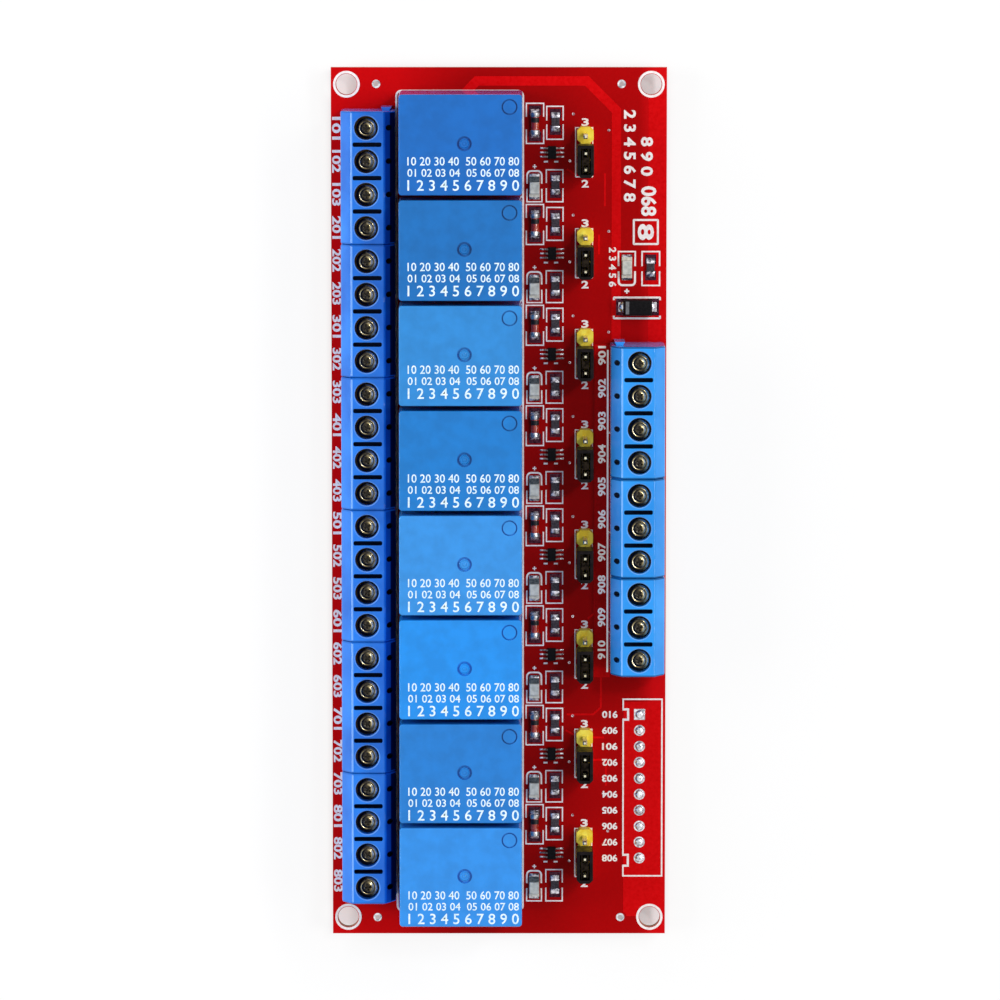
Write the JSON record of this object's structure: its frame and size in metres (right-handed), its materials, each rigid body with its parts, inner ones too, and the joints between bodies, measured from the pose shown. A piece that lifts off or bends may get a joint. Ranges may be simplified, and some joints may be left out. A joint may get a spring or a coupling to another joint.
{
  "type": "relay module board",
  "caption": "Red circuit board with a row of sealed relays, screw terminals down both long edges, and a jumpered trigger circuit beside each relay.",
  "frame": {"origin": "centre of the four mounting holes, on the board's underside", "axes": "+Z out of the component side, +Y along the board towards relay 1, +X towards the input terminals"},
  "size_m": [0.0516, 0.1344, 0.0192],
  "materials": {
    "board_mask": "red solder mask on glass-fibre laminate",
    "relay_blue": "fine moulded texture",
    "tinned_lead": "tinned",
    "terminal_blue": "satin moulding",
    "screw_steel": "yellow zinc plated",
    "clamp_brass": "tinned brass",
    "header_yellow": "moulded",
    "pin_gilt": "thin gold plating",
    "cap_black": "moulded",
    "clip_brass": "sprung bronze",
    "diode_glass": "red glass with metal ends",
    "resistor_black": "glazed top, tinned ends",
    "lamp_white": "cloudy resin",
    "package_black": "moulded epoxy"
  },
  "bodies": {
    "board": {"circuit_board": "board_mask", "relay_1": "relay_blue", "relay_2": "relay_blue", "relay_3": "relay_blue", "relay_4": "relay_blue", "relay_5": "relay_blue", "relay_6": "relay_blue", "relay_7": "relay_blue", "relay_8": "relay_blue", "relay_leads": "tinned_lead", "output_terminal_housing_1": "terminal_blue", "output_terminal_housing_2": "terminal_blue", "output_terminal_housing_3": "terminal_blue", "output_terminal_housing_4": "terminal_blue", "output_terminal_housing_5": "terminal_blue", "output_terminal_housing_6": "terminal_blue", "input_terminal_housing_1": "terminal_blue", "input_terminal_housing_2": "terminal_blue", "input_terminal_housing_3": "terminal_blue", "output_terminal_screws": "screw_steel", "input_terminal_screws": "screw_steel", "output_terminal_clamps": "clamp_brass", "input_terminal_clamps": "clamp_brass", "header_body_1": "header_yellow", "header_body_2": "header_yellow", "header_body_3": "header_yellow", "header_body_4": "header_yellow", "header_body_5": "header_yellow", "header_body_6": "header_yellow", "header_body_7": "header_yellow", "header_body_8": "header_yellow", "header_pins": "pin_gilt", "glass_diodes": "diode_glass", "channel_resistors": "resistor_black", "power_resistor": "resistor_black", "channel_lamps": "lamp_white", "power_lamp": "lamp_white", "driver_packages": "package_black", "power_diode": "package_black"},
    "jumper_1": {"jumper_cap_1": "cap_black", "jumper_clip_1": "clip_brass"},
    "jumper_2": {"jumper_cap_2": "cap_black", "jumper_clip_2": "clip_brass"},
    "jumper_3": {"jumper_cap_3": "cap_black", "jumper_clip_3": "clip_brass"},
    "jumper_4": {"jumper_cap_4": "cap_black", "jumper_clip_4": "clip_brass"},
    "jumper_5": {"jumper_cap_5": "cap_black", "jumper_clip_5": "clip_brass"},
    "jumper_6": {"jumper_cap_6": "cap_black", "jumper_clip_6": "clip_brass"},
    "jumper_7": {"jumper_cap_7": "cap_black", "jumper_clip_7": "clip_brass"},
    "jumper_8": {"jumper_cap_8": "cap_black", "jumper_clip_8": "clip_brass"}
  },
  "joints": [
    {"name": "jumper_1_pull", "type": "slide", "parent": "board", "child": "jumper_1", "axis": [0, 0, 1], "range_m": [0, 0.007]},
    {"name": "jumper_2_pull", "type": "slide", "parent": "board", "child": "jumper_2", "axis": [0, 0, 1], "range_m": [0, 0.007]},
    {"name": "jumper_3_pull", "type": "slide", "parent": "board", "child": "jumper_3", "axis": [0, 0, 1], "range_m": [0, 0.007]},
    {"name": "jumper_4_pull", "type": "slide", "parent": "board", "child": "jumper_4", "axis": [0, 0, 1], "range_m": [0, 0.007]},
    {"name": "jumper_5_pull", "type": "slide", "parent": "board", "child": "jumper_5", "axis": [0, 0, 1], "range_m": [0, 0.007]},
    {"name": "jumper_6_pull", "type": "slide", "parent": "board", "child": "jumper_6", "axis": [0, 0, 1], "range_m": [0, 0.007]},
    {"name": "jumper_7_pull", "type": "slide", "parent": "board", "child": "jumper_7", "axis": [0, 0, 1], "range_m": [0, 0.007]},
    {"name": "jumper_8_pull", "type": "slide", "parent": "board", "child": "jumper_8", "axis": [0, 0, 1], "range_m": [0, 0.007]}
  ]
}
